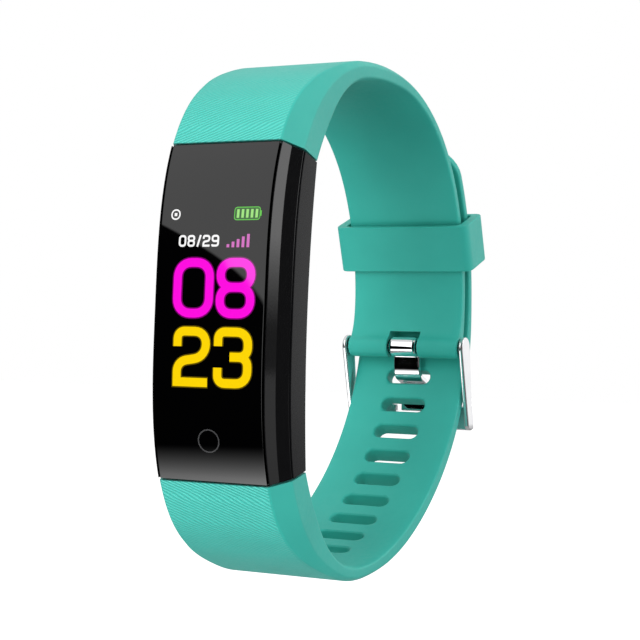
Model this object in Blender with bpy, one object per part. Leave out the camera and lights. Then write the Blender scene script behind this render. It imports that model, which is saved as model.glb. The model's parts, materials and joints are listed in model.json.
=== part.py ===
"""Fitness tracker band: a slim capsule with a curved window, on a two-piece silicone strap that is buckled.

The band stands on edge, as on a wrist. The origin is the middle of the wrist loop.
+X runs across the strap, -Y is where the display looks, +Z is the display's upper end.
Every length below is in millimetres; MM turns it into metres when a mesh is made.
"""

import math

import bmesh
import bpy
from mathutils import Matrix, Vector

MM = 0.001
GAP = 0.3                      # clearance between neighbours that would touch

# Capsule
CAPSULE_HALF = 22.0            # half length along the glass, end to end
CAPSULE_FRONT = -33.0          # Y of the glass at its two ends
GLASS_RISE = 2.6               # how far the middle of the glass stands in front of its ends
BACK_HALF = 20.3               # half length along the back
BACK_END = -25.0               # Y of the back at its two ends
BACK_RISE = 1.2                # how far the middle of the back lies in front of its ends
GLASS_HALF_WIDTH = 8.02
BEVEL_HALF_WIDTH = 8.73
WIDEST_HALF = 9.58
BACK_HALF_WIDTH = 9.27
BEVEL_DEPTH = 0.222            # depths are fractions of the way from the glass to the back
WIDEST_DEPTH = 0.45
SHELL_REACH = 1.0 - GAP / CAPSULE_HALF   # share of the half length that the capsule's shells cover
LENS_THICKNESS = 1.2
GASKET_THICKNESS = 0.3
RING_WIDTH = 7.4               # half width of the opening under the glass
RING_HALF = 18.6               # half length of that opening
CAVITY_WIDTH = 7.9
BACK_WALL = 1.0

# Strap
SEAM_HEADING = 12.0            # slope of the end faces, degrees from vertical
START_HEADING = 25.6           # slope of the strap's inner face where it leaves the capsule
STRAP_ARCS = [(54.0, 9.0), (15.0, 45.0), (53.0, 13.5), (26.3, 56.0)]
KEEPER_ARC = (35.7, 35.9)      # radius and sweep of the stretch that the keeper slides on
ROOT_THICKNESS = 8.18
THIN = 1.7                     # thickness of the short strap behind the wrist
TAIL_THIN = 1.5                # thickness of the long strap where it lies on the short one
UPPER_THICKNESS = ((22.0, 2.3), (44.0, THIN))
LOWER_THICKNESS = ((26.0, 1.8), (44.0, 2.85), (60.0, 2.85), (68.0, 2.4), (74.0, 2.4), (86.0, TAIL_THIN))
ROOT_FADE = 11.1               # distance over which the root's thickness is lost
ROOT_FADE_POWER = 2.5
ROOT_SIDE_SHARE = 0.55         # part of the thickness that is plain side wall, at the root
THIN_SIDE_SHARE = 0.72
SIDE_WALL = 1.75               # the most side wall a thin stretch has; the rest of its edge slopes
EDGE_SLOPE = 0.7               # least width of the outer bevel
INNER_BEVEL = 0.8
ROLL_SWELL = 1.0               # how far the short strap swells inwards as it runs into the roll
SWELL_LENGTH = 6.0
LAYER_GAP = 1.4                # between the two straps, under the keeper
BEZIER_HANDLES = (13.6, 27.0)
TAIL_START = 179.0             # heading where the long strap runs level with the keeper's arc
TAIL_SWEEP = 41.5
TIP_LENGTH = 6.5               # length of the long strap's rounded tip

SLOT_PITCH = 5.0
SLOT_LENGTH = 7.5
SLOT_HEIGHT = 2.3
SLOTS_BEFORE = 8               # slots from the prong towards the capsule
SLOTS_AFTER = 5                # slots from the prong towards the tip

# Tongues of the capsule, in the strap's two pockets
TONGUE = ((-6.0, -1.0, -2.6), (6.0, 1.0, 9.0))
TONGUE_TILT = 28.0
CONTACT_PITCH = 2.6

# Inside the capsule
SENSOR_Z = -5.0
MOTOR = (-28.5, -13.6)         # Y and Z of the vibration motor's shaft
MOTOR_RADIUS = 1.4

# Buckle
PIN = (27.15, -2.4)            # Y and Z of the pin's axis
ROLL_RADIUS = 1.75
ROLL_BORE = 1.2
NOTCH_WIDTH = 5.4
BARREL_RADIUS = 0.9
BARREL_BORE = 0.7
BARREL_HALF = 9.0
TIP_RADIUS = 0.5
TIP_REACH = 10.2
TIP_ROOT = 6.2
TIP_TRAVEL = 1.2
ARM_INSIDE = 9.88
ARM_OUTSIDE = 10.6
ARM_TOP_RADIUS = 1.75
ARM_FOOT = (30.2, -14.5)
ARM_FOOT_RADIUS = 0.95
ARM_HOLE = 0.7
ARM_HOLE_END = 10.35
CROSSBAR = (31.2, -13.6)
CROSSBAR_HEIGHT = 3.9
CROSSBAR_THICKNESS = 1.2
CROSSBAR_NOTCH = 5.4
CROSSBAR_NOTCH_DEPTH = 2.3
PRONG_SLOT = (28.5, -7.1)      # Y and Z where the prong goes through the long strap
PRONG_ROUTE = ((28.2, -3.3), (28.4, -6.0), (28.9, -7.2), (31.3, -8.0), (31.95, -8.9), (31.75, -12.4))
PRONG_WIDTH = 4.6
PRONG_THICKNESS = 0.9

# Keeper
KEEPER_HEADING = 163.3
KEEPER_LEAN = 5.0              # how far the loose loop leans over from the strap's own slope
KEEPER_HEIGHT = 7.5
KEEPER_WALL = 0.85
KEEPER_HALF_WIDTH = 11.5

# Colours: (red, green, blue), roughness, metallic
TEAL = ((0.08, 0.62, 0.54), 0.5, 0.0)
GLASS_BLACK = ((0.006, 0.006, 0.007), 0.05, 0.0)
CASE_BLACK = ((0.025, 0.025, 0.028), 0.3, 0.0)
CHROME = ((0.83, 0.84, 0.86), 0.08, 1.0)
STEEL = ((0.55, 0.56, 0.58), 0.3, 1.0)
BOARD_GREEN = ((0.02, 0.18, 0.08), 0.5, 0.0)
CHIP_BLACK = ((0.02, 0.02, 0.02), 0.45, 0.0)
SCREEN = ((0.01, 0.01, 0.015), 0.2, 0.0)
COPPER_FILM = ((0.55, 0.3, 0.08), 0.4, 0.0)
SILVER_FOIL = ((0.7, 0.7, 0.72), 0.4, 0.6)
GOLD = ((0.9, 0.65, 0.2), 0.25, 1.0)
DARK_RUBBER = ((0.03, 0.03, 0.03), 0.8, 0.0)
WHITE_DIODE = ((0.85, 0.9, 0.8), 0.3, 0.0)
SMOKED_GLASS = ((0.01, 0.02, 0.015), 0.08, 0.0)


def clear_scene():
    for thing in list(bpy.data.objects):
        bpy.data.objects.remove(thing)


def material(name, look):
    colour, roughness, metallic = look
    made = bpy.data.materials.new(name)
    made.use_nodes = True
    shader = made.node_tree.nodes["Principled BSDF"]
    shader.inputs["Base Color"].default_value = (*colour, 1.0)
    shader.inputs["Roughness"].default_value = roughness
    shader.inputs["Metallic"].default_value = metallic
    return made


# ---------------------------------------------------------------- meshes


def finish_mesh(name, bm, look, axis=(0.0, 0.0, 0.0), smooth=False):
    """Makes the object from a bmesh in millimetres, with its origin at the point axis."""
    bmesh.ops.translate(bm, verts=bm.verts, vec=-Vector(axis))
    bmesh.ops.scale(bm, verts=bm.verts, vec=(MM, MM, MM))
    bmesh.ops.recalc_face_normals(bm, faces=bm.faces)
    mesh = bpy.data.meshes.new(name)
    bm.to_mesh(mesh)
    bm.free()
    if smooth:
        mesh.shade_smooth()
        mesh.set_sharp_from_angle(angle=math.radians(30))
    made = bpy.data.objects.new(name, mesh)
    made.location = Vector(axis) * MM
    bpy.context.scene.collection.objects.link(made)
    if look:
        mesh.materials.append(material(name, look))
    return made


def loft(bm, rings):
    """Skins a row of closed outlines with the same number of points, and caps both ends."""
    rows = [[bm.verts.new(point) for point in ring] for ring in rings]
    count = len(rows[0])
    for low, high in zip(rows, rows[1:]):
        for i in range(count):
            j = (i + 1) % count
            bm.faces.new((low[i], low[j], high[j], high[i]))
    bm.faces.new(list(reversed(rows[0])))
    bm.faces.new(rows[-1])


def prism(bm, outline, place):
    """Extrudes a flat outline of (u, v) points; place(u, v, end) gives the corner at end 0 or 1."""
    loft(bm, [[place(u, v, end) for u, v in outline] for end in (0, 1)])


def box_at(bm, low, high, turn=None):
    """A block between two corners, turned by a matrix when one is given."""
    corners = bmesh.ops.create_cube(bm, size=1.0)["verts"]
    size = Vector(high) - Vector(low)
    middle = (Vector(high) + Vector(low)) / 2
    bmesh.ops.scale(bm, verts=corners, vec=size)
    bmesh.ops.translate(bm, verts=corners, vec=middle)
    if turn:
        bmesh.ops.transform(bm, matrix=turn, verts=corners)


def block(name, low, high, look=None, turn=None):
    bm = bmesh.new()
    box_at(bm, low, high, turn)
    return finish_mesh(name, bm, look)


def circle(radius, count, centre=(0.0, 0.0)):
    turns = [2 * math.pi * (k + 0.5) / count for k in range(count)]
    return [(centre[0] + radius * math.cos(a), centre[1] + radius * math.sin(a)) for a in turns]


def rod(name, radius, start, end, look=None, count=20, centre=PIN):
    """A round bar along X, from start to end, about a point of the Y-Z plane."""
    bm = bmesh.new()
    prism(bm, circle(radius, count, centre), lambda y, z, k: ((start, end)[k], y, z))
    return finish_mesh(name, bm, look, axis=(0.0, *centre), smooth=True)


def combine(target, tool, operation="DIFFERENCE"):
    """Cuts a tool from an object, or joins it on, and hides the tool."""
    step = target.modifiers.new(tool.name, "BOOLEAN")
    step.operation = operation
    step.solver = "EXACT"
    step.object = tool
    tool.hide_render = True
    tool.display_type = "WIRE"


# ---------------------------------------------------------------- the strap's line


def travel(heading):
    """Unit step in the Y-Z plane; heading 0 is up, 90 is away from the display."""
    angle = math.radians(heading)
    return Vector((math.sin(angle), math.cos(angle)))


def outward(heading):
    """Unit step away from the wrist, square to the strap."""
    angle = math.radians(heading)
    return Vector((-math.cos(angle), math.sin(angle)))


def arc_points(start, heading, radius, sweep, step=1.0):
    """Points (Y, Z, heading) along one arc that turns towards the wrist."""
    centre = Vector(start) - radius * outward(heading)
    count = max(2, math.ceil(radius * math.radians(sweep) / step))
    turns = [heading + sweep * k / count for k in range(count + 1)]
    return [(*(centre + radius * outward(turn)), turn) for turn in turns]


def chain(start, heading, arcs):
    points = [(*start, heading)]
    for radius, sweep in arcs:
        y, z, turn = points[-1]
        points += arc_points((y, z), turn, radius, sweep)[1:]
    return points


def mirrored(points):
    return [(y, -z, turn) for y, z, turn in points]


def bezier_points(start, start_step, end, end_step, count=60):
    """A cubic curve between two points, with the step of each end given."""
    first, last = Vector(start), Vector(end)
    near, far = first + start_step, last - end_step
    points = []
    for k in range(count + 1):
        t = k / count
        u = 1 - t
        spot = u**3 * first + 3 * u * u * t * near + 3 * u * t * t * far + t**3 * last
        step = u * u * (near - first) + 2 * u * t * (far - near) + t * t * (last - far)
        points.append((spot.x, spot.y, step))
    return points


class Line:
    """A smooth line in the Y-Z plane, read by the distance along it."""

    def __init__(self, spots, normals):
        self.spots = spots
        self.normals = normals
        self.marks = [0.0]
        for a, b in zip(spots, spots[1:]):
            self.marks.append(self.marks[-1] + (b - a).length)
        self.length = self.marks[-1]

    def at(self, distance):
        """The point and the direction away from the wrist at a distance from the capsule."""
        k = 0
        while k < len(self.marks) - 2 and self.marks[k + 1] < distance:
            k += 1
        share = (distance - self.marks[k]) / (self.marks[k + 1] - self.marks[k])
        spot = self.spots[k].lerp(self.spots[k + 1], share)
        return spot, self.normals[k].lerp(self.normals[k + 1], share).normalized()

    def nearest(self, target):
        """The distance along the line of the spot closest to a point."""
        gaps = [(spot - Vector(target)).length for spot in self.spots]
        return self.marks[gaps.index(min(gaps))]


def upper_points():
    return chain((BACK_END, BACK_HALF), START_HEADING, STRAP_ARCS + [KEEPER_ARC])


def keeper_centre():
    """Middle of the arc that the keeper slides along, in the Y-Z plane."""
    y, z, heading = chain((BACK_END, BACK_HALF), START_HEADING, STRAP_ARCS)[-1]
    return Vector((y, z)) - KEEPER_ARC[0] * outward(heading)


def upper_line():
    """Inner face of the short strap, from the capsule to the pin."""
    points = upper_points()
    y, z, heading = points[-1]
    end = Vector((y, z)) + travel(heading) * (z - PIN[1])
    points.append((*end, heading))
    return Line([Vector(p[:2]) for p in points], [outward(p[2]) for p in points])


def lower_line():
    """Inner face of the long strap: down from the capsule, round the wrist, up outside the short strap."""
    front = mirrored(chain((BACK_END, BACK_HALF), START_HEADING, STRAP_ARCS[:2]))
    spots = [Vector(p[:2]) for p in front]
    normals = [Vector((outward(p[2]).x, -outward(p[2]).y)) for p in front]
    heading = front[-1][2]
    leave = Vector((travel(heading).x, -travel(heading).y))
    pulls = (leave * BEZIER_HANDLES[0], -travel(TAIL_START) * BEZIER_HANDLES[1])
    tail_radius = KEEPER_ARC[0] + THIN + LAYER_GAP
    join = keeper_centre() + tail_radius * outward(TAIL_START)
    curve = bezier_points(spots[-1], pulls[0], join, pulls[1])
    for y, z, step in curve[1:]:
        step.normalize()
        spots.append(Vector((y, z)))
        normals.append(Vector((step.y, -step.x)))
    count = 30
    for k in range(1, count + 1):
        turn = TAIL_START - TAIL_SWEEP * k / count
        spots.append(keeper_centre() + tail_radius * outward(turn))
        normals.append(outward(turn))
    return Line(spots, normals)


def ease(value):
    value = min(1.0, max(0.0, value))
    return value * value * (3 - 2 * value)


def soft_largest(one, other):
    """The larger of two lengths, with a smooth change from one to the other."""
    return (one**8 + other**8) ** 0.125


def base_thickness(distance, steps):
    """Thickness from a row of (distance, thickness) steps, smooth between them."""
    value = steps[0][1]
    for (start, low), (end, high) in zip(steps, steps[1:]):
        value += (high - low) * ease((distance - start) / (end - start))
    return value


def strap_section(line, distance, steps, side, widest=WIDEST_HALF, swell=0.0):
    """Eight corners of the strap across one spot of its line. side is 1 for the upper one, -1 below."""
    spot, normal = line.at(distance)
    lean = math.radians(START_HEADING - SEAM_HEADING) * (1 - ease(distance / 10.0)) * side
    normal = Matrix.Rotation(lean, 2) @ normal
    fade = math.exp(-((distance / ROOT_FADE) ** ROOT_FADE_POWER))
    base = base_thickness(distance, steps)
    thick = base + (ROOT_THICKNESS - base) * fade
    wall = 1.0 / soft_largest(1.0 / (THIN_SIDE_SHARE * base), 1.0 / SIDE_WALL)
    share = wall / base + (ROOT_SIDE_SHARE - wall / base) * fade
    bulge = 0.1 + INNER_BEVEL * ease(distance / 10.0) * (1 - ease((distance - 10.0) / 18.0)) + swell
    flat_half = WIDEST_HALF - soft_largest(EDGE_SLOPE, base - wall)
    outer_half = flat_half - (flat_half - GLASS_HALF_WIDTH) * fade
    corners = [
        (BACK_HALF_WIDTH - 0.9, -bulge),
        (BACK_HALF_WIDTH + 0.25 * (1 - fade), 0.0),
        (WIDEST_HALF, share * thick),
        (outer_half, thick),
    ]
    shrink = widest / WIDEST_HALF
    half = [(x * shrink, depth) for x, depth in corners]
    outline = half + [(-x, depth) for x, depth in reversed(half)]
    return [(x, *(spot + normal * depth)) for x, depth in outline]


# ---------------------------------------------------------------- the capsule


def capsule_point(along, x, depth):
    """A point of the capsule: along runs -1 to 1 over its length, depth 0 to 1 from glass to back."""
    rise = abs(along) ** 3.3
    front = Vector((CAPSULE_FRONT - GLASS_RISE * (1 - rise), CAPSULE_HALF * along))
    back = Vector((BACK_END - BACK_RISE * (1 - along * along), BACK_HALF * along))
    return (x, *front.lerp(back, depth))


def capsule_thickness(along):
    front, back = capsule_point(along, 0.0, 0.0), capsule_point(along, 0.0, 1.0)
    return (Vector(back) - Vector(front)).length


def capsule_shell(name, half_outline, look, reach=SHELL_REACH, steps=16, smooth=False):
    """A body that follows the capsule's curve. half_outline(along) gives its (x, depth) corners, x > 0."""
    rings = []
    for k in range(steps + 1):
        along = reach * math.sin(math.pi / 2 * (2 * k / steps - 1))
        half = half_outline(along)
        outline = half + [(-x, depth) for x, depth in reversed(half)]
        rings.append([capsule_point(along, x, depth) for x, depth in outline])
    bm = bmesh.new()
    loft(bm, rings)
    return finish_mesh(name, bm, look, smooth=smooth)


def slab(width, start, end):
    """Corner function of a plain layer: start and end are millimetres below the glass."""
    def corners(along):
        thickness = capsule_thickness(along)
        return [(width, end / thickness), (width, start / thickness)]
    return corners


def tongue_frame(side):
    """Place of a strap tongue: its own +Z runs out of the capsule's end. side is 1 on top, -1 below."""
    y, z = capsule_point(side, 0.0, 0.62)[1:]
    turn = Matrix.Rotation(math.radians(-TONGUE_TILT * side), 4, "X")
    flip = Matrix.Diagonal((1.0, 1.0, side, 1.0))
    return Matrix.Translation((0.0, y, z)) @ turn @ flip


def grown(corners, amount):
    low, high = corners
    return tuple(v - amount for v in low), tuple(v + amount for v in high)


def front_lens():
    capsule_shell("front_lens", slab(GLASS_HALF_WIDTH - 0.1, 0.0, LENS_THICKNESS), GLASS_BLACK, smooth=True)


def frame_window(name):
    return block(name, (-RING_WIDTH, -40.0, -RING_HALF), (RING_WIDTH, -20.0, RING_HALF))


def lens_gasket():
    """The thin bonding ring that seals the glass to its ledge."""
    start = LENS_THICKNESS + GAP
    shape = slab(GLASS_HALF_WIDTH - 0.1, start, start + GASKET_THICKNESS)
    gasket = capsule_shell("lens_gasket", shape, DARK_RUBBER)
    combine(gasket, frame_window("gasket_window"))


def front_frame():
    def corners(along):
        return [
            (WIDEST_HALF, WIDEST_DEPTH),
            (BEVEL_HALF_WIDTH, BEVEL_DEPTH),
            (GLASS_HALF_WIDTH + 0.2, 0.01),
        ]
    frame = capsule_shell("front_frame", corners, CASE_BLACK)
    ledge = LENS_THICKNESS + GASKET_THICKNESS + 2 * GAP
    seat = slab(GLASS_HALF_WIDTH + 0.15, -1.0, ledge)
    combine(frame, capsule_shell("lens_seat", seat, None, reach=1.1))
    combine(frame, frame_window("frame_window"))
    combine(frame, block("frame_usb_cut", *grown(TONGUE, GAP), turn=tongue_frame(-1)))


def rear_cover():
    def corners(along):
        gap = GAP / capsule_thickness(along)
        return [(BACK_HALF_WIDTH, 1.0), (WIDEST_HALF - 0.03, WIDEST_DEPTH + gap)]
    def hollow_corners(along):
        return [(CAVITY_WIDTH, 1.0 - BACK_WALL / capsule_thickness(along)), (CAVITY_WIDTH, 0.1)]
    cover = capsule_shell("rear_cover", corners, CASE_BLACK)
    combine(cover, capsule_shell("cover_hollow", hollow_corners, None, reach=0.85))
    combine(cover, rod_along_y("sensor_hole", 4.6, -28.5, -24.0, z=SENSOR_Z))
    combine(cover, block("cover_usb_cut", *grown(TONGUE, GAP), turn=tongue_frame(-1)))
    low, high = TONGUE
    plug = block("blank_tongue", (low[0], low[1], -0.8), high, turn=tongue_frame(1))
    combine(cover, plug, "UNION")


def rod_along_y(name, radius, start, end, look=None, x=0.0, z=0.0, count=24):
    bm = bmesh.new()
    prism(bm, circle(radius, count, (x, z)), lambda u, v, k: (u, (start, end)[k], v))
    return finish_mesh(name, bm, look, smooth=True)


def inside_parts():
    """What fills the capsule, from the window to the back. Y values are measured from the loop's middle."""
    block("display_panel", (-7.2, -33.4, -13.2), (7.2, -32.3, 13.2), SCREEN)
    block("display_tray", (-6.6, -32.0, -14.0), (6.6, -31.4, 14.0), SILVER_FOIL)
    block("touch_electrode", (-3.2, -32.6, -18.2), (3.2, -32.4, -13.8), COPPER_FILM)
    block("main_board", (-6.5, -31.1, -17.6), (6.5, -30.3, 17.6), BOARD_GREEN)
    block("display_flex", (-4.0, -32.0, 14.5), (4.0, -31.4, 17.2), COPPER_FILM)
    block("battery", (-6.4, -30.0, 2.2), (6.4, -27.5, 17.0), SILVER_FOIL)
    block("radio_chip", (-5.8, -30.0, -3.8), (-1.0, -29.2, 1.0), CHIP_BLACK)
    block("memory_chip", (1.2, -30.0, -2.6), (5.2, -29.3, 1.0), CHIP_BLACK)
    block("motion_sensor", (3.4, -30.0, -6.4), (5.6, -29.3, -4.2), CHIP_BLACK)
    block("antenna_chip", (-6.2, -30.0, -7.4), (-4.6, -29.3, -4.2), WHITE_DIODE)
    rod_along_y("sensor_window", 4.3, -27.0, -26.2, SMOKED_GLASS, z=SENSOR_Z)
    block("sensor_board", (-3.6, -28.6, SENSOR_Z - 3.4), (3.6, -28.2, SENSOR_Z + 3.4), BOARD_GREEN)
    for side, word in ((-1, "left"), (1, "right")):
        block("sensor_led_" + word, (side * 2.6 - 0.7, -27.9, SENSOR_Z - 0.8),
              (side * 2.6 + 0.7, -27.4, SENSOR_Z + 0.8), WHITE_DIODE)
    block("photodiode", (-1.3, -27.9, SENSOR_Z - 1.4), (1.3, -27.4, SENSOR_Z + 1.4), CHIP_BLACK)


def vibration_motor():
    body = rod("motor_body", MOTOR_RADIUS, -5.4, 0.8, STEEL, count=24, centre=MOTOR)
    combine(body, rod("motor_bearing_cut", 0.6, -0.8, 2.0, count=16, centre=MOTOR))
    weight = rod("motor_weight", 1.3, 1.6, 5.2, STEEL, count=24, centre=MOTOR)
    half = block("weight_cut", (1.0, -2.0, 0.45), (6.0, 2.0, 2.0))
    half.location = Vector((0.0, MOTOR[0], MOTOR[1])) * MM
    combine(weight, half)
    combine(weight, rod("motor_shaft", 0.35, -0.4, 5.6, count=16, centre=MOTOR), "UNION")


def usb_plug():
    place = tongue_frame(-1)
    tongue = block("usb_tongue", *TONGUE, BOARD_GREEN, turn=place)
    front = TONGUE[0][1]
    for k in range(4):
        x = CONTACT_PITCH * (k - 1.5)
        pad = ((x - 0.8, front, 1.4), (x + 0.8, front + 0.2, 8.0))
        block(f"usb_contact_{k + 1}", *pad, GOLD, turn=place)
        combine(tongue, block(f"contact_recess_{k + 1}", *grown(pad, GAP), turn=place))


# ---------------------------------------------------------------- straps


def stations(length, step):
    count = math.ceil(length / step)
    return [length * k / count for k in range(count + 1)]


def strap_body(name, line, marks, steps, side, tip=0.0, roll_swell=0.0):
    """Skins the strap over its marks; tip is the length of a rounded end in plan."""
    rings = []
    for mark in marks:
        left = line.length - mark
        widest = WIDEST_HALF
        if tip and left < tip:
            widest = WIDEST_HALF * math.sqrt(max(0.0, 1 - ((tip - left) / tip) ** 2))
        swell = roll_swell * ease(1 - left / SWELL_LENGTH)
        rings.append(strap_section(line, mark, steps, side, widest, swell))
    bm = bmesh.new()
    loft(bm, rings)
    return finish_mesh(name, bm, TEAL)


def socket(name, side):
    """The pocket in a strap's root that takes the capsule's tongue."""
    return block(name, *grown(TONGUE, GAP), turn=tongue_frame(side))


def strap_upper():
    line = upper_line()
    marks = stations(line.length, 2.0)
    strap = strap_body("strap_upper", line, marks, UPPER_THICKNESS, 1, roll_swell=ROLL_SWELL)
    roll = rod("strap_roll", ROLL_RADIUS, -WIDEST_HALF, WIDEST_HALF, count=28)
    combine(strap, roll, "UNION")
    combine(strap, rod("roll_bore", ROLL_BORE, -12.0, 12.0))
    notch = block("roll_notch", (-NOTCH_WIDTH / 2, 20.0, -6.0), (NOTCH_WIDTH / 2, 32.0, 0.1))
    combine(strap, notch)
    combine(strap, socket("upper_socket", 1))


def strap_lower():
    line = lower_line()
    tip = TIP_LENGTH
    body_marks = stations(line.length - tip, 3.0)
    tip_marks = [line.length - tip * (1 - math.sin(math.radians(a))) for a in (15, 30, 45, 60, 72, 82)]
    strap = strap_body("strap_lower", line, body_marks + tip_marks, LOWER_THICKNESS, -1, tip)
    combine(strap, slot_cutter(line))
    combine(strap, socket("lower_socket", -1))


def slot_marks(line):
    """Distances of the slots along the long strap; the prong is in the one next to its own reach."""
    held = line.nearest(PRONG_SLOT)
    return [held + SLOT_PITCH * k for k in range(-SLOTS_BEFORE, SLOTS_AFTER + 1)]


def slot_cutter(line):
    radius = SLOT_HEIGHT / 2
    flat = SLOT_LENGTH / 2 - radius
    ends = [(flat, -90.0), (-flat, 90.0)]
    outline = []
    for shift, first in ends:
        for k in range(7):
            angle = math.radians(first + 30.0 * k)
            outline.append((shift + radius * math.cos(angle), radius * math.sin(angle)))
    bm = bmesh.new()
    for mark in slot_marks(line):
        spot, normal = line.at(mark)
        run = Vector((normal.y, -normal.x))
        prism(bm, outline, lambda u, v, k: (u, *(spot + run * v + normal * (-2.5, 4.5)[k])))
    return finish_mesh("slot_cutter", bm, None)


# ---------------------------------------------------------------- keeper


def rounded_rectangle(low, high, radius, corner_steps=4):
    """Corner points of a rectangle with round corners, anticlockwise."""
    corners = [((high[0] - radius, high[1] - radius), 0), ((low[0] + radius, high[1] - radius), 90),
               ((low[0] + radius, low[1] + radius), 180), ((high[0] - radius, low[1] + radius), 270)]
    points = []
    for (u, v), first in corners:
        for k in range(corner_steps + 1):
            angle = math.radians(first + 90.0 * k / corner_steps)
            points.append((u + radius * math.cos(angle), v + radius * math.sin(angle)))
    return points


def keeper_loop():
    """The loose loop round both straps, leaning over by its play."""
    centre = keeper_centre()
    base = centre + KEEPER_ARC[0] * outward(KEEPER_HEADING)
    normal = outward(KEEPER_HEADING - KEEPER_LEAN)
    run = travel(KEEPER_HEADING - KEEPER_LEAN)
    half = KEEPER_HEIGHT / 2
    sag = half**2 / (2 * KEEPER_ARC[0])
    play = GAP + half * math.tan(math.radians(KEEPER_LEAN))
    inside = -play - sag
    outside = THIN + LAYER_GAP + TAIL_THIN + play
    hole_half = WIDEST_HALF + 0.35

    def place(u, v, k):
        return (u, *(base + normal * v + run * (-half, half)[k]))

    ring = rounded_rectangle((-KEEPER_HALF_WIDTH, inside - KEEPER_WALL),
                             (KEEPER_HALF_WIDTH, outside + KEEPER_WALL), 1.0)
    hole = rounded_rectangle((-hole_half, inside), (hole_half, outside), 0.4, 2)
    bm = bmesh.new()
    prism(bm, ring, place)
    keeper = finish_mesh("keeper_loop", bm, TEAL, axis=(0.0, *centre))
    cut = bmesh.new()
    prism(cut, hole, lambda u, v, k: (u, *(base + normal * v + run * (-half - 1, half + 1)[k])))
    combine(keeper, finish_mesh("keeper_hole", cut, None))


# ---------------------------------------------------------------- buckle


def buckle_frame():
    """The chrome loop: two arms from the pin to the bar that presses on the long strap."""
    top, foot = Vector(PIN), Vector(ARM_FOOT)
    line = (foot - top).normalized()
    tilt = math.degrees(math.atan2(line.y, line.x))
    spread = math.degrees(math.asin((ARM_TOP_RADIUS - ARM_FOOT_RADIUS) / (foot - top).length))
    outline = []
    for centre, radius, first, last in ((top, ARM_TOP_RADIUS, 90 - spread, 270 + spread),
                                        (foot, ARM_FOOT_RADIUS, -90 + spread, 90 - spread)):
        for k in range(9):
            angle = math.radians(tilt + first + (last - first) * k / 8)
            outline.append((centre.x + radius * math.cos(angle), centre.y + radius * math.sin(angle)))
    bar_turn = Matrix.Translation((0.0, *CROSSBAR)) @ Matrix.Rotation(math.radians(tilt + 90), 4, "X")
    half_bar = (ARM_OUTSIDE, CROSSBAR_THICKNESS / 2, CROSSBAR_HEIGHT / 2)
    axis = (0.0, *PIN)
    bm = bmesh.new()
    box_at(bm, [-v for v in half_bar], half_bar, bar_turn)
    frame = finish_mesh("buckle_frame", bm, CHROME, axis=axis)
    for side, word in ((-1, "left"), (1, "right")):
        arm = bmesh.new()
        prism(arm, outline, lambda y, z, k: (side * (ARM_INSIDE, ARM_OUTSIDE)[k], y, z))
        combine(frame, finish_mesh("arm_" + word, arm, None, axis=axis), "UNION")
    for side, word in ((-1, "left"), (1, "right")):
        ends = sorted((side * 8.0, side * ARM_HOLE_END))
        combine(frame, rod("arm_hole_" + word, ARM_HOLE, *ends, count=16))
    notch_top = CROSSBAR_HEIGHT / 2
    combine(frame, block("bar_notch", (-CROSSBAR_NOTCH / 2, -2.0, notch_top - CROSSBAR_NOTCH_DEPTH),
                         (CROSSBAR_NOTCH / 2, 2.0, notch_top + 1.0), turn=bar_turn))


def prong_route():
    """Middle line of the bent prong, from the pin's eye through the slot to the crossbar."""
    return [Vector(p) for p in PRONG_ROUTE]


def buckle_prong():
    route = prong_route()
    half = PRONG_THICKNESS / 2
    left, right = [], []
    for k, spot in enumerate(route):
        before = (spot - route[max(0, k - 1)]).normalized() if k else None
        after = (route[k + 1] - spot).normalized() if k + 1 < len(route) else None
        steps = [step for step in (before, after) if step]
        middle = sum(steps, Vector((0.0, 0.0))).normalized()
        side = Vector((-middle.y, middle.x))
        stretch = half / max(0.5, abs(side.dot(Vector((-steps[0].y, steps[0].x)))))
        left.append(spot + side * stretch)
        right.append(spot - side * stretch)
    outline = [tuple(p) for p in left + right[::-1]]
    axis = (0.0, *PIN)
    reach = PRONG_WIDTH / 2
    prong = rod("buckle_prong", 1.7, -reach, reach, CHROME, count=24)
    plate = bmesh.new()
    prism(plate, outline, lambda y, z, k: ((-reach, reach)[k], y, z))
    combine(prong, finish_mesh("prong_plate", plate, None, axis=axis), "UNION")
    combine(prong, rod("prong_eye", BARREL_RADIUS + 0.25, -4.0, 4.0))


def spring_bar():
    barrel = rod("pin_barrel", BARREL_RADIUS, -BARREL_HALF, BARREL_HALF, STEEL)
    combine(barrel, rod("barrel_bore", BARREL_BORE, -12.0, 12.0, count=16))
    for side, word in ((-1, "left"), (1, "right")):
        ends = sorted((side * TIP_ROOT, side * TIP_REACH))
        rod("pin_tip_" + word, TIP_RADIUS, *ends, look=STEEL, count=16)
    spring_reach = TIP_ROOT - TIP_TRAVEL - GAP
    spring_coil(spring_reach)


def spring_coil(reach, turns=8, steps=10, coil=0.38, wire=0.13):
    """The fine spring between the two tips, shown at the length that fully pressed tips leave it."""
    curve = bpy.data.curves.new("pin_spring", "CURVE")
    curve.dimensions = "3D"
    curve.bevel_depth = wire * MM
    curve.bevel_resolution = 0
    curve.use_fill_caps = True
    line = curve.splines.new("POLY")
    count = turns * steps + 1
    line.points.add(count - 1)
    for k in range(count):
        angle = 2 * math.pi * k / steps
        x = reach * (2 * k / (count - 1) - 1)
        line.points[k].co = (x * MM, coil * math.cos(angle) * MM, coil * math.sin(angle) * MM, 1.0)
    curve.materials.append(material("pin_spring", STEEL))
    made = bpy.data.objects.new("pin_spring", curve)
    made.location = Vector((0.0, *PIN)) * MM
    bpy.context.scene.collection.objects.link(made)


clear_scene()
front_lens()
lens_gasket()
front_frame()
rear_cover()
inside_parts()
vibration_motor()
usb_plug()
strap_upper()
strap_lower()
keeper_loop()
buckle_frame()
buckle_prong()
spring_bar()
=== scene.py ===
import json
import math

import bmesh
import bpy
import numpy as np
from mathutils import Matrix, Vector

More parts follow.
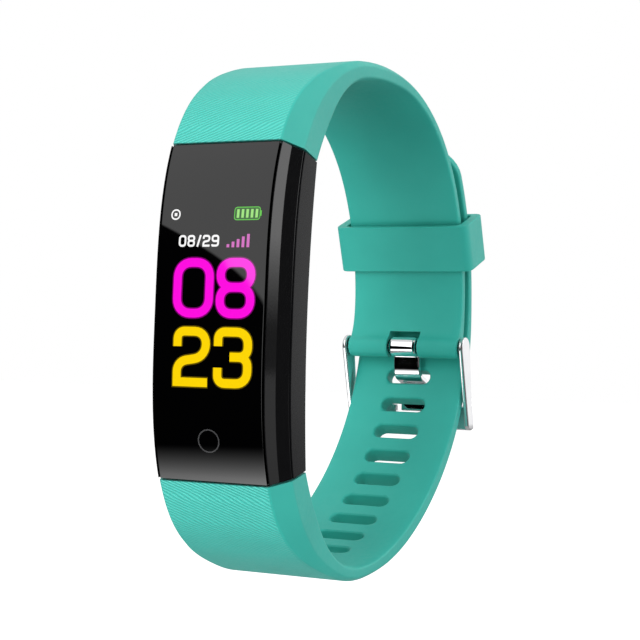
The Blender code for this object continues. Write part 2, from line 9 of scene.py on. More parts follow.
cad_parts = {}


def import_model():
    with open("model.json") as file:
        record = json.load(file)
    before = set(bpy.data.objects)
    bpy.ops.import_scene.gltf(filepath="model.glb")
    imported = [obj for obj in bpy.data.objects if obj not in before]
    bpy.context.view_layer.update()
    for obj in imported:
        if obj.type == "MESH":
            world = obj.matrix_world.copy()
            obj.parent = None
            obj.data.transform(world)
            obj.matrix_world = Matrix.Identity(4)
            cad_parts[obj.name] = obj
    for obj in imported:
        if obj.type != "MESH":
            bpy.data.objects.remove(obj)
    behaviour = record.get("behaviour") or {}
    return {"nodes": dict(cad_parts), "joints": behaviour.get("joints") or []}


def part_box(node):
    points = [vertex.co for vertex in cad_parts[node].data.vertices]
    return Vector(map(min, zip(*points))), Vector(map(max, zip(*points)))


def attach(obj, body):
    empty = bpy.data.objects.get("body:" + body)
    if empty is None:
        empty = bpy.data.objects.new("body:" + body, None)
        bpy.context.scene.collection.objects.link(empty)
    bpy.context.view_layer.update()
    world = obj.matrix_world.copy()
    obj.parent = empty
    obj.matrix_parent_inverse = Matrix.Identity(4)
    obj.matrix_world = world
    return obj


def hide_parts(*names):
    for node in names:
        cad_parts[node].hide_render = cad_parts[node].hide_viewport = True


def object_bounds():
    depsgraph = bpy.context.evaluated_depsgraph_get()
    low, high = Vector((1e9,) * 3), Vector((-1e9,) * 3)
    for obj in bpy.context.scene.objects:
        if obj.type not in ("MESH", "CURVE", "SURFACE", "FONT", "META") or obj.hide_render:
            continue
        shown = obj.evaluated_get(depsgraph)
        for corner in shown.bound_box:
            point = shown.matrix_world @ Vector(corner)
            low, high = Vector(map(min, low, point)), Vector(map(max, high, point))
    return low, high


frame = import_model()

CAD_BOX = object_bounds()
NODES = frame["nodes"]
JOINTS = {joint["name"]: joint for joint in frame["joints"]}
MM = 0.001  # lengths below are millimetres


def size_of(node):
    """Lowest and highest corner of a CAD node, in millimetres."""
    low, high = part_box(node)
    return low / MM, high / MM


# Capsule: the curve of the window and of the back
CAPSULE_HALF = 22.0
CAPSULE_FRONT = -33.0
GLASS_RISE = 2.6
BACK_HALF = 20.3
BACK_END = -25.0
BACK_RISE = 1.2
GLASS_HALF_WIDTH = 8.02
BEVEL_HALF_WIDTH = 8.73
WIDEST_HALF = size_of("strap_upper")[1].x
BACK_HALF_WIDTH = 9.27
BEVEL_DEPTH = 0.222
WIDEST_DEPTH = 0.45
LENS_THICKNESS = 1.2
LEDGE_DEPTH = 2.1
GAP = 0.3
REACH = 1.0 - GAP / CAPSULE_HALF
RING_WIDTH = 7.4
RING_HALF = 18.6
SENSOR_Z = -5.0
SHELL_STEPS = 72
ROD_SIDES = 64
DISC_SIDES = 96
GLASS_SINK = 0.07  # how far the drawn window lies under the solid one, for the digits
CAPSULE_CURVE = 3.3  # power of the window's curve: the higher, the flatter its middle
SENSOR_HOLE = 4.6  # radius of the hole in the back
SENSOR_LID = 4.3
SHADOW = 0.02  # how far the case stays inside the widest line
CAVITY_HALF_WIDTH = 7.9
CAVITY_REACH = 0.85
BACK_WALL = 1.0

# Straps
SEAM_HEADING = 12.0
START_HEADING = 25.6
STRAP_ARCS = [(54.0, 9.0), (15.0, 45.0), (53.0, 13.5), (26.3, 56.0)]
KEEPER_ARC = (35.7, 35.9)
ROOT_THICKNESS = 8.18
THIN = 1.7
TAIL_THIN = 1.5
UPPER_THICKNESS = ((22.0, 2.3), (44.0, THIN))
LOWER_THICKNESS = ((26.0, 1.8), (44.0, 2.85), (60.0, 2.85), (68.0, 2.4), (74.0, 2.4), (86.0, TAIL_THIN))
ROOT_FADE = 11.1
ROOT_FADE_POWER = 2.5
ROOT_SIDE_SHARE = 0.55
THIN_SIDE_SHARE = 0.72
SIDE_WALL = 1.75
STATION_STEP = 0.7
SKIN = 0.01  # how far the visual strap stays inside the modelled one
EDGE_SLOPE = 0.7
INNER_BEVEL = 0.8
LAYER_GAP = 1.4
BEZIER_HANDLES = (13.6, 27.0)
TAIL_START = 179.0
TAIL_SWEEP = 41.5
TIP_LENGTH = 6.5
ROLL_MEET = 1.15  # distance from the pin where the strap's face meets the roll
BELLY = 0.1  # how far the inner face bows towards the wrist
SLOT_PITCH = 5.0
SLOT_LENGTH = 7.5
SLOT_HEIGHT = 2.3
SLOTS_BEFORE = 8
SLOTS_AFTER = 5
SLOT_EDGE = 0.28  # rounding of the slots' rims
PRONG_SLOT = (28.5, -7.1)

# Buckle
PIN = tuple(value / MM for value in JOINTS["buckle_swing"]["pos_m"][1:])
KEEPER_CENTRE = Vector(JOINTS["keeper_slide"]["pos_m"][1:]) / MM
ROLL_RADIUS = 1.75
ROLL_BORE = 1.2
NOTCH_WIDTH = 5.4
ARM_INSIDE = 9.88
ARM_OUTSIDE = size_of("buckle_frame")[1].x
ARM_TOP_RADIUS = 1.75
ARM_FOOT = (30.2, -14.5)
ARM_FOOT_RADIUS = 0.95
ARM_HOLE = (0.7, 8.0, 10.35)  # radius of the blind hole for the pin's tip, its start and its end
SLIVER = 0.005  # how far the chrome stays inside its solid
CROSSBAR = (31.2, -13.6)
CROSSBAR_HEIGHT = 3.9
CROSSBAR_THICKNESS = 1.2
CROSSBAR_NOTCH = 5.4
CROSSBAR_NOTCH_DEPTH = 2.3
PRONG_HALF = size_of("buckle_prong")[1].x
PRONG_THICKNESS = 0.9
PRONG_ROUTE = ((28.2, -3.3), (28.4, -6.0), (28.9, -7.2), (31.3, -8.0), (31.85, -8.9), (31.95, -12.85))
EYE_RADIUS = 1.7
EYE_BORE = 1.15

# Keeper
KEEPER_HEADING = 163.3
KEEPER_LEAN = 5.0
KEEPER_HEIGHT = 7.5
KEEPER_WALL = 0.85
KEEPER_HALF_WIDTH = size_of("keeper_loop")[1].x
KEEPER_PLAY = 0.35  # free space at each side of the straps

# Diagonal ribs on the straps' front faces, with a painted highlight on their crests and painted shade in
# their grooves
RIB_PITCH = 0.36
RIB_ANGLE = math.radians(20.0)
RIB_HALF_WIDTH = 8.0
RIB_REACH = 26.0
RIB_DEPTH = 0.00009
# Painted highlight colour of the rib crests, then painted shade colour of the rib grooves
RIB_PAINTED_HIGHLIGHT = (0.16, 0.80, 0.69, 1.0)
RIB_PAINTED_SHADE = (0.03, 0.36, 0.31, 1.0)

# Colours
TEAL = (0.048, 0.56, 0.468)
TEAL_DEEP = (0.040, 0.505, 0.425)
CHROME_DARK = (0.86, 0.87, 0.89, 1.0)
CHROME_LIGHT = (0.93, 0.93, 0.94, 1.0)


# ---- materials


class Look:
    """A procedural material, built node by node."""

    def __init__(self, name):
        self.material = bpy.data.materials.new(name)
        self.material.use_nodes = True
        self.tree = self.material.node_tree
        self.shader = self.tree.nodes["Principled BSDF"]

    def node(self, kind, **inputs):
        made = self.tree.nodes.new(kind)
        for key, value in inputs.items():
            self.feed(made, key, value)
        return made

    def feed(self, node, key, value):
        """Links an output to a socket, or sets the socket to a plain value."""
        socket = node.inputs[int(key[1:])] if key[0] == "i" and key[1:].isdigit() else node.inputs[key]
        if isinstance(value, bpy.types.NodeSocket):
            self.tree.links.new(value, socket)
        else:
            socket.default_value = value

    def math(self, operation, first, second=0.0, clamp=False):
        made = self.node("ShaderNodeMath", i0=first, i1=second, i2=0.0)
        made.operation = operation
        made.use_clamp = clamp
        return made.outputs[0]

    def times(self, first, second, clamp=False):
        return self.math("MULTIPLY", first, second, clamp=clamp)

    def place(self):
        return self.node("ShaderNodeTexCoord").outputs["Object"]

    def noise(self, scale, detail=3.0, stretch=(1.0, 1.0, 1.0)):
        mapping = self.node("ShaderNodeMapping", Vector=self.place(), Scale=stretch)
        made = self.node("ShaderNodeTexNoise", Vector=mapping.outputs[0], Scale=scale, Detail=detail)
        return made.outputs["Fac"]

    def blend(self, factor, first, second):
        made = self.tree.nodes.new("ShaderNodeMix")
        made.data_type = "RGBA"
        for key, value in (("Factor", factor), ("i6", first), ("i7", second)):
            self.feed(made, key, value)
        return made.outputs[2]

    def spread(self, value, low, high, start=0.3, stop=0.7):
        """Carries a value from between start and stop over to between low and high."""
        ends = {"From Min": start, "From Max": stop, "To Min": low, "To Max": high}
        return self.node("ShaderNodeMapRange", Value=value, **ends).outputs[0]

    def bump(self, height, distance, strength=1.0, under=None):
        made = self.node("ShaderNodeBump", Height=height, Strength=strength, Distance=distance)
        if under is not None:
            self.feed(made, "Normal", under)
        return made.outputs[0]

    def set(self, **values):
        for key, value in values.items():
            self.feed(self.shader, key.replace("_", " "), value)


def rgb(colour, gain=1.0):
    return (*[min(1.0, value * gain) for value in colour], 1.0)


def surface(name, colour, roughness, change=0.06, grain=900.0, depth=0.00001, metallic=0.0, specular=0.5,
            stretch=(1.0, 1.0, 1.0), coat=0.0):
    """A plain surface with its fine grain and its uneven gloss."""
    look = Look(name)
    cloud = look.noise(grain / 6, 2.0, stretch)
    fine = look.noise(grain, 4.0, stretch)
    tone = look.blend(look.spread(cloud, 0.0, 1.0), rgb(colour, 1 - change), rgb(colour, 1 + change))
    look.set(Base_Color=tone,
             Roughness=look.spread(fine, roughness * 0.85, roughness * 1.15),
             Normal=look.bump(fine, depth, 0.6),
             Metallic=metallic, Specular_IOR_Level=specular, Coat_Weight=coat)
    return look.material


def ribs(look, colour, normal):
    """Adds fine diagonal ribs that fade out along the strap, on the middle of its outer face. In the colour,
    their crests get a painted highlight and their grooves get painted shade.
    """
    spot = look.node("ShaderNodeAttribute")
    spot.attribute_name = "strap_place"
    parts = look.node("ShaderNodeSeparateXYZ", Vector=spot.outputs["Vector"])
    across, along, face = parts.outputs
    turn = look.math("ADD", look.times(across, math.sin(RIB_ANGLE)), look.times(along, -math.cos(RIB_ANGLE)))
    saw = look.math("FRACT", look.math("DIVIDE", turn, RIB_PITCH))
    crest = look.math("POWER", look.math("SINE", look.times(saw, math.pi)), 1.5)
    edge = look.math("SUBTRACT", RIB_HALF_WIDTH, look.math("ABSOLUTE", across))
    inside = look.times(edge, 8.0, clamp=True)
    fade = look.math("SUBTRACT", 1.0, look.math("DIVIDE", along, RIB_REACH), clamp=True)
    fade = look.math("POWER", fade, 1.4)
    outer = look.times(look.math("SUBTRACT", face, 0.93), 30.0, clamp=True)
    mask = look.times(look.times(inside, fade), outer)
    height = look.times(crest, mask)
    # Painted shade in the rib grooves and a painted highlight on the rib crests, mixed into the colour
    groove_painted_shade = look.times(look.math("SUBTRACT", 1.0, crest), mask)
    colour = look.blend(look.times(height, 0.55), colour, RIB_PAINTED_HIGHLIGHT)
    colour = look.blend(look.times(groove_painted_shade, 0.18), colour, RIB_PAINTED_SHADE)
    return colour, look.bump(height, RIB_DEPTH, 1.0, under=normal)


def silicone(name, ribbed=True):
    """Matte silicone: a soft cloudy tone and a fine moulded grain, with or without ribs."""
    look = Look(name)
    cloud = look.noise(90.0, 3.0)
    grain = look.noise(5200.0, 3.0)
    dust = look.noise(1500.0, 2.0)
    colour = look.blend(look.spread(cloud, 0.0, 1.0), rgb(TEAL_DEEP), rgb(TEAL))
    normal = look.bump(grain, 0.00002, 0.35)
    if ribbed:
        colour, normal = ribs(look, colour, normal)
    look.set(Base_Color=colour, Roughness=look.spread(dust, 0.44, 0.54), Normal=normal,
             Specular_IOR_Level=0.35, Subsurface_Weight=0.08, Subsurface_Radius=(0.0004, 0.001, 0.0009),
             Sheen_Weight=0.05, Sheen_Roughness=0.4)
    return look.material


def glass(name, colour=(0.0004, 0.0004, 0.0005), roughness=0.012):
    look = Look(name)
    smear = look.noise(60.0, 4.0, (1.0, 1.0, 0.4))
    look.set(Base_Color=look.blend(look.spread(smear, 0.0, 1.0), rgb(colour), rgb(colour, 1.5)),
             Roughness=look.spread(smear, roughness, roughness * 1.6), Specular_IOR_Level=0.5)
    return look.material


def glowing(name, colour):
    """A lit area of the display, under the same gloss as the window."""
    look = Look(name)
    cell = look.noise(4000.0, 1.0)
    look.set(Emission_Color=look.blend(look.spread(cell, 0.0, 0.12), rgb(colour), rgb(colour, 0.7)),
             Base_Color=(0.002, 0.002, 0.002, 1.0), Roughness=0.04, Emission_Strength=1.0)
    return look.material


def chrome(name, metallic):
    look = Look(name)
    haze = look.noise(300.0, 4.0)
    look.set(Base_Color=look.blend(look.spread(haze, 0.0, 1.0), CHROME_DARK, CHROME_LIGHT),
             Roughness=look.spread(haze, 0.03, 0.07), Metallic=metallic)
    return look.material


# ---- meshes


def stand(name, data):
    """A new object in the scene that holds the data."""
    made = bpy.data.objects.new(name, data)
    bpy.context.scene.collection.objects.link(made)
    return made


def stand_mesh(name, bm, material):
    mesh = bpy.data.meshes.new(name)
    bm.to_mesh(mesh)
    bm.free()
    if material:
        mesh.materials.append(material)
    return stand(name, mesh)


def make(name, bm, material):
    """An object from a bmesh in millimetres."""
    bmesh.ops.scale(bm, verts=bm.verts, vec=(MM, MM, MM))
    bmesh.ops.recalc_face_normals(bm, faces=bm.faces)
    made = stand_mesh(name, bm, material)
    smooth(made)
    return made


def smooth(made, angle=32.0):
    """Smooth shading that keeps flat faces flat and edges sharper than the angle crisp."""
    made.data.shade_smooth()
    made.data.set_sharp_from_angle(angle=math.radians(angle))
    step = made.modifiers.new("normals", "WEIGHTED_NORMAL")
    step.mode = "FACE_AREA"
    step.weight = 60
    step.keep_sharp = True


def loft(name, rings, material):
    """A closed body from rings of points that follow one another."""
    bm = bmesh.new()
    rows = [[bm.verts.new(point) for point in ring] for ring in rings]
    count = len(rows[0])
    for low, high in zip(rows, rows[1:]):
        for i in range(count):
            j = (i + 1) % count
            bm.faces.new((low[i], low[j], high[j], high[i]))
    bm.faces.new(list(reversed(rows[0])))
    bm.faces.new(rows[-1])
    return make(name, bm, material)


def prism(name, outline, place, material):
    """A body between two copies of an outline; place(u, v, end) puts a flat point at end 0 or 1."""
    return loft(name, [[place(u, v, end) for u, v in outline] for end in (0, 1)], material)


def circle(radius, count, centre):
    turns = [2 * math.pi * (k + 0.5) / count for k in range(count)]
    return [(centre[0] + radius * math.cos(a), centre[1] + radius * math.sin(a)) for a in turns]


def rod(name, radius, start, end, material=None, edge=0.0):
    """A round bar on the pin's line; edge rounds its two rims."""
    rings = [(start, radius)]
    if edge:
        turns = [math.pi / 2 * k / 4 for k in range(4, -1, -1)]
        rings = [(start + edge * (1 - math.sin(a)), radius - edge * (1 - math.cos(a))) for a in turns]
    rings += [(start + end - x, r) for x, r in reversed(rings)]
    return loft(name, [[(x, y, z) for y, z in circle(r, ROD_SIDES, PIN)] for x, r in rings], material)


def block(name, size, centre, turn=Matrix()):
    bm = bmesh.new()
    corners = bmesh.ops.create_cube(bm, size=1.0)["verts"]
    bmesh.ops.scale(bm, verts=corners, vec=size)
    bmesh.ops.translate(bm, verts=corners, vec=centre)
    bmesh.ops.transform(bm, matrix=turn, verts=corners)
    return make(name, bm, None)


def carve(target, tools, operation="DIFFERENCE"):
    """Cuts the tools from an object, or joins them on, and drops them."""
    for tool in tools:
        step = target.modifiers.new("step", "BOOLEAN")
        step.operation = operation
        step.solver = "EXACT"
        step.object = tool
    settle(target)
    for tool in tools:
        bpy.data.objects.remove(tool)
    smooth(target)


def soften(target, width, segments=3, angle=35.0):
    """Rounds an object's edges."""
    step = target.modifiers.new("edge", "BEVEL")
    step.width = width * MM
    step.segments = segments
    step.limit_method = "ANGLE"
    step.angle_limit = math.radians(angle)
    settle(target)
    smooth(target, 50.0)


def settle(target):
    """Applies an object's modifiers."""
    seen = target.evaluated_get(bpy.context.evaluated_depsgraph_get())
    mesh = bpy.data.meshes.new_from_object(seen)
    target.modifiers.clear()
    target.data = mesh


def rounded(points, radii, steps=3):
    """A closed outline with its corners rounded; every corner becomes the same number of points."""
    out = []
    count = len(points)
    for k in range(count):
        before, spot, after = Vector(points[k - 1]), Vector(points[k]), Vector(points[(k + 1) % count])
        reach = radii[k]
        start = spot + (before - spot).normalized() * min(reach, (before - spot).length * 0.45)
        stop = spot + (after - spot).normalized() * min(reach, (after - spot).length * 0.45)
        for i in range(steps + 1):
            t = i / steps
            out.append(tuple((1 - t) ** 2 * start + 2 * t * (1 - t) * spot + t * t * stop))
    return out


# ---- strap lines


def travel(heading):
    angle = math.radians(heading)
    return Vector((math.sin(angle), math.cos(angle)))


def outward(heading):
    angle = math.radians(heading)
    return Vector((-math.cos(angle), math.sin(angle)))


def chain(start, heading, arcs, step=0.25):
    """Points (Y, Z, heading) along arcs that turn towards the wrist."""
    points = [(*start, heading)]
    for radius, sweep in arcs:
        y, z, first = points[-1]
        centre = Vector((y, z)) - radius * outward(first)
        count = math.ceil(radius * math.radians(sweep) / step)
        for k in range(1, count + 1):
            turn = first + sweep * k / count
            points.append((*(centre + radius * outward(turn)), turn))
    return points


class Line:
    """A smooth line in the Y-Z plane, read by the distance along it."""

    def __init__(self, spots, normals):
        self.spots = np.array([tuple(spot) for spot in spots])
        self.normals = np.array([tuple(normal) for normal in normals])
        steps = np.linalg.norm(np.diff(self.spots, axis=0), axis=1)
        self.marks = np.concatenate([[0.0], np.cumsum(steps)])
        self.length = float(self.marks[-1])

    def at(self, distance):
        spot, normal = [Vector([np.interp(distance, self.marks, rows[:, k]) for k in (0, 1)])
                        for rows in (self.spots, self.normals)]
        return spot, normal.normalized()

    def nearest(self, target):
        gaps = np.linalg.norm(self.spots - np.array(target), axis=1)
        return float(self.marks[gaps.argmin()])


def upper_line():
    points = chain((BACK_END, BACK_HALF), START_HEADING, STRAP_ARCS + [KEEPER_ARC])
    y, z, heading = points[-1]
    for k in range(1, 9):
        points.append((*(Vector((y, z)) + travel(heading) * (z - PIN[1]) * k / 8), heading))
    return Line([p[:2] for p in points], [outward(p[2]) for p in points])


def lower_line():
    front = [(y, -z, turn) for y, z, turn in chain((BACK_END, BACK_HALF), START_HEADING, STRAP_ARCS[:2])]
    spots = [Vector(p[:2]) for p in front]
    normals = [Vector((outward(p[2]).x, -outward(p[2]).y)) for p in front]
    heading = front[-1][2]
    leave = Vector((travel(heading).x, -travel(heading).y))
    tail_radius = KEEPER_ARC[0] + THIN + LAYER_GAP
    join = KEEPER_CENTRE + tail_radius * outward(TAIL_START)
    first, last = spots[-1], join
    near, far = first + leave * BEZIER_HANDLES[0], last + travel(TAIL_START) * BEZIER_HANDLES[1]
    count = 300
    for k in range(1, count + 1):
        t = k / count
        u = 1 - t
        spots.append(u**3 * first + 3 * u * u * t * near + 3 * u * t * t * far + t**3 * last)
        step = (u * u * (near - first) + 2 * u * t * (far - near) + t * t * (last - far)).normalized()
        normals.append(Vector((step.y, -step.x)))
    for k in range(1, 121):
        turn = TAIL_START - TAIL_SWEEP * k / 120
        spots.append(KEEPER_CENTRE + tail_radius * outward(turn))
        normals.append(outward(turn))
    return Line(spots, normals)


def ease(value):
    value = min(1.0, max(0.0, value))
    return value * value * (3 - 2 * value)


def soft_largest(one, other):
    """The larger of two lengths, with a smooth change from one to the other."""
    return (one**8 + other**8) ** 0.125


def base_thickness(distance, steps):
    """Thickness from a row of (distance, thickness) steps, smooth between them."""
    base = steps[0][1]
    for (start, low), (end, high) in zip(steps, steps[1:]):
        base += (high - low) * ease((distance - start) / (end - start))
    return base


def thickness(distance, steps):
    """Thickness at a distance along the strap, and how much of it is the root."""
    fade = math.exp(-((distance / ROOT_FADE) ** ROOT_FADE_POWER))
    base = base_thickness(distance, steps)
    return base + (ROOT_THICKNESS - base) * fade, fade


def section_frame(line, distance, side):
    """The spot on the inner face and the direction away from the wrist there."""
    spot, normal = line.at(distance)
    lean = math.radians(START_HEADING - SEAM_HEADING) * (1 - ease(distance / 10.0)) * side
    return spot, Matrix.Rotation(lean, 2) @ normal


ACROSS = [-1.0, -0.93, -0.85, -0.7, -0.5, -0.3, 0.0, 0.3, 0.5, 0.7, 0.85, 0.93, 1.0]


def strap_section(line, distance, steps, side, widest, swell):
    """Points round the strap at one spot of its line; swell(x) is how far its inner face bulges there."""
    spot, normal = section_frame(line, distance, side)
    thick, fade = thickness(distance, steps)
    base = base_thickness(distance, steps)
    wall = 1.0 / soft_largest(1.0 / (THIN_SIDE_SHARE * base), 1.0 / SIDE_WALL)
    share = wall / base + (ROOT_SIDE_SHARE - wall / base) * fade
    bulge = BELLY + INNER_BEVEL * ease(distance / 10.0) * (1 - ease((distance - 10.0) / 18.0))
    flat_half = WIDEST_HALF - soft_largest(EDGE_SLOPE, base - wall)
    outer_half = flat_half - (flat_half - GLASS_HALF_WIDTH) * fade
    inner_half = BACK_HALF_WIDTH - 0.9
    shrink = widest / WIDEST_HALF
    half = [
        (inner_half, -bulge - swell(inner_half)),
        (BACK_HALF_WIDTH + 0.25 * (1 - fade), 0.0 - swell(BACK_HALF_WIDTH) * 0.9),
        (WIDEST_HALF - SKIN, share * thick - SKIN),
        (outer_half, thick - SKIN),
    ]
    corners = half + [(-x, depth) for x, depth in reversed(half)]
    radii = [0.35, 0.3, 0.22, 0.22]
    outline = rounded([(x * shrink, d) for x, d in corners], [r * shrink for r in radii + radii[::-1]])
    start, stop = outline[-1], outline[0]
    inner = []
    for t in ACROSS[1:-1]:
        x = start[0] + (stop[0] - start[0]) * (t + 1) / 2
        inner.append((x, -bulge - swell(x)))
    return [(x, *(spot + normal * depth)) for x, depth in outline + inner]


def note_places(made, line, steps, side):
    """Writes on each vertex: where it is across and along the strap, and how near to the outer face."""
    mesh = made.data
    points = np.zeros(len(mesh.vertices) * 3, np.float64)
    mesh.vertices.foreach_get("co", points)
    points = points.reshape(-1, 3) / MM
    places = np.zeros((len(points), 3), np.float32)
    marks = np.arange(0.0, line.length, 0.25)
    frames = [section_frame(line, mark, side) for mark in marks]
    spots, normals = [np.array([tuple(f[k]) for f in frames]) for k in (0, 1)]
    thick = np.array([thickness(mark, steps)[0] for mark in marks])
    tangents = np.stack([normals[:, 1], -normals[:, 0]], 1)
    for first in range(0, len(points), 4000):
        part = points[first:first + 4000]
        offset = part[:, None, 1:] - spots[None]
        miss = np.abs((offset * tangents[None]).sum(2)) + 1000.0 * ((offset * normals[None]).sum(2) < -4.0)
        far = np.linalg.norm(offset, axis=2) > 12.0
        best = (miss + 1000.0 * far).argmin(1)
        depth = (offset[np.arange(len(part)), best] * normals[best]).sum(1)
        places[first:first + 4000] = np.stack([part[:, 0], marks[best], depth / thick[best]], 1)
    layer = mesh.attributes.new("strap_place", "FLOAT_VECTOR", "POINT")
    layer.data.foreach_set("vector", places.ravel())


def tongue_place(side):
    y, z = capsule_point(side, 0.0, 0.62)[1:]
    turn = Matrix.Rotation(math.radians(-28.0 * side), 4, "X")
    return Matrix.Translation((0.0, y, z)) @ turn @ Matrix.Diagonal((1.0, 1.0, side, 1.0))


def pocket(name, side):
    """The hole in a strap's root that the capsule's tongue sits in."""
    return block(name, (12.6, 2.6, 12.2), (0.0, 0.0, 3.2), tongue_place(side))


def stations(length):
    count = math.ceil(length / STATION_STEP)
    return [length * k / count for k in range(count + 1)]


def roll_depth(line, mark):
    """How far the roll's surface lies inside the strap's inner face at a mark near the pin."""
    spot, normal = line.at(mark)
    way = spot - Vector(PIN)
    along = way.dot(normal)
    return along + math.sqrt(max(0.0, along**2 - way.length_squared + ROLL_RADIUS**2)) - BELLY


def upper_swell(line, mark):
    """How the inner face flares into the roll round the pin: a short fillet, longer at the strap's edges."""
    left = line.length - mark
    level = roll_depth(line, line.length - min(left, ROLL_MEET)) - 0.02
    past = max(0.0, left - ROLL_MEET)

    def swell(x):
        reach = 0.9 + 1.3 * abs(x / WIDEST_HALF) ** 3
        return level * math.exp(-past / reach) * ease(2.2 - past / (3.2 * reach))
    return swell


def strap_upper():
    line = upper_line()
    coarse = line.length - 6.0
    marks = stations(coarse) + [coarse + 6.0 * k / 24 for k in range(1, 25)]
    rings = []
    for mark in marks:
        swell = upper_swell(line, mark)
        rings.append(strap_section(line, mark, UPPER_THICKNESS, 1, WIDEST_HALF, swell))
    strap = loft("strap_upper_silicone", rings, silicone("silicone_upper"))
    carve(strap, [rod("roll", ROLL_RADIUS, -WIDEST_HALF + 0.02, WIDEST_HALF - 0.02, edge=0.3)], "UNION")
    notch = block("roll_notch", (NOTCH_WIDTH, 12.0, 6.1), (0.0, 26.0, -2.95))
    carve(strap, [rod("roll_bore", ROLL_BORE, -12.0, 12.0), notch, pocket("upper_pocket", 1)])
    note_places(strap, line, UPPER_THICKNESS, 1)
    adopt(strap, "band", "strap_upper")


def slot_cutter(name, line, mark, thick):
    """An obround hole through the strap with rounded rims."""
    spot, normal = line.at(mark)
    run = Vector((normal.y, -normal.x))
    flat = (SLOT_LENGTH - SLOT_HEIGHT) / 2
    inner_rim = [(-BELLY - 1.0, 1.0), (-BELLY - 0.02, SLOT_EDGE),
                 (-BELLY + SLOT_EDGE * 0.35, SLOT_EDGE * 0.4), (-BELLY + SLOT_EDGE, 0.0)]
    outer_rim = [(thick - SLOT_EDGE, 0.0), (thick - SLOT_EDGE * 0.35, SLOT_EDGE * 0.4),
                 (thick + 0.02, SLOT_EDGE), (thick + 1.0, 1.0)]
    rings = []
    for depth, flare in inner_rim + outer_rim:
        radius = SLOT_HEIGHT / 2 + flare
        ring = []
        for shift, first in ((flat, -90.0), (-flat, 90.0)):
            for k in range(13):
                angle = math.radians(first + 15.0 * k)
                u, v = shift + radius * math.cos(angle), radius * math.sin(angle)
                ring.append((u, *(spot + run * v + normal * depth)))
        rings.append(ring)
    return loft(name, rings, None)


def strap_lower():
    line = lower_line()
    end = line.length - TIP_LENGTH
    turns = (8, 16, 24, 32, 40, 48, 56, 64, 71, 77, 82)
    tips = [line.length - TIP_LENGTH * (1 - math.sin(math.radians(turn))) for turn in turns]
    rings = []
    for mark in stations(end) + tips:
        past = max(0.0, (mark - end) / TIP_LENGTH)
        widest = WIDEST_HALF * math.sqrt(1 - past * past)
        rings.append(strap_section(line, mark, LOWER_THICKNESS, -1, widest, lambda x: 0.0))
    strap = loft("strap_lower_silicone", rings, silicone("silicone_lower"))
    held = line.nearest(PRONG_SLOT)
    tools = [pocket("lower_pocket", -1)]
    for k in range(-SLOTS_BEFORE, SLOTS_AFTER + 1):
        mark = held + SLOT_PITCH * k
        tools.append(slot_cutter(f"slot_{k}", line, mark, thickness(mark, LOWER_THICKNESS)[0]))
    carve(strap, tools)
    note_places(strap, line, LOWER_THICKNESS, -1)
    adopt(strap, "band", "strap_lower")


def adopt(piece, body, node):
    """The piece rides on a body; if a CAD node is given, the piece stands in for it and that node is hidden.
    """
    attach(piece, body)
    if node:
        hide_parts(node)


# ---- capsule


def capsule_point(along, x, depth):
    rise = abs(along) ** CAPSULE_CURVE
    front = Vector((CAPSULE_FRONT - GLASS_RISE * (1 - rise), CAPSULE_HALF * along))
    back = Vector((BACK_END - BACK_RISE * (1 - along * along), BACK_HALF * along))
    return (x, *front.lerp(back, depth))


def capsule_thickness(along):
    front, back = capsule_point(along, 0.0, 0.0), capsule_point(along, 0.0, 1.0)
    return (Vector(back) - Vector(front)).length


def capsule_shell(name, half_outline, material, reach=REACH, edge=0.0):
    """A body that follows the capsule's curve; edge rounds its long edges."""
    rings = []
    for k in range(SHELL_STEPS + 1):
        along = reach * (2 * k / SHELL_STEPS - 1)
        thick = capsule_thickness(along)
        half = [(x, depth * thick) for x, depth in half_outline(along)]
        outline = half + [(-x, depth) for x, depth in reversed(half)]
        if edge:
            outline = rounded(outline, [edge] * len(outline))
        rings.append([capsule_point(along, x, depth / thick) for x, depth in outline])
    return loft(name, rings, material)


def slab(width, start, end):
    def corners(along):
        thick = capsule_thickness(along)
        return [(width, end / thick), (width, start / thick)]
    return corners


def frame_corners(_along):
    side = (WIDEST_HALF - SHADOW, WIDEST_DEPTH)
    return [side, (BEVEL_HALF_WIDTH, BEVEL_DEPTH), (GLASS_HALF_WIDTH + 0.2, 0.012)]


def cover_corners(along):
    gap = GAP / capsule_thickness(along)
    return [(BACK_HALF_WIDTH, 0.998), (WIDEST_HALF - 0.03, WIDEST_DEPTH + gap)]


def cavity_corners(along):
    floor_share = 1.0 - BACK_WALL / capsule_thickness(along)
    return [(CAVITY_HALF_WIDTH, floor_share), (CAVITY_HALF_WIDTH, 0.1)]


def disc(name, radius, start, end, material, edge):
    """A flat disc on the sensor's line, facing along Y, with a rounded rear rim."""
    rings = [(start, radius)]
    for k in range(6):
        angle = math.pi / 2 * k / 5
        rings.append((end - edge * (1 - math.sin(angle)), radius - edge * (1 - math.cos(angle))))
    rings = [[(u, y, v) for u, v in circle(r, DISC_SIDES, (0.0, SENSOR_Z))] for y, r in rings]
    return loft(name, rings, material)


def window_piece():
    outline = slab(GLASS_HALF_WIDTH - 0.1, GLASS_SINK, LENS_THICKNESS)
    lens = capsule_shell("front_window", outline, glass("window_glass"), edge=0.14)
    adopt(lens, "band", "front_lens")


def case_piece():
    gloss = surface("case_gloss", (0.007, 0.007, 0.0075), 0.07, grain=2600.0, depth=0.000003, specular=0.5)
    case = capsule_shell("front_case", frame_corners, gloss, edge=0.12)
    seat = capsule_shell("seat", slab(GLASS_HALF_WIDTH + 0.15, -1.0, LEDGE_DEPTH), None, reach=1.1)
    hole = block("case_window", (2 * RING_WIDTH, 20.0, 2 * RING_HALF), (0.0, -30.0, 0.0))
    carve(case, [seat, hole, pocket("case_tongue_cut", -1)])
    adopt(case, "band", "front_frame")


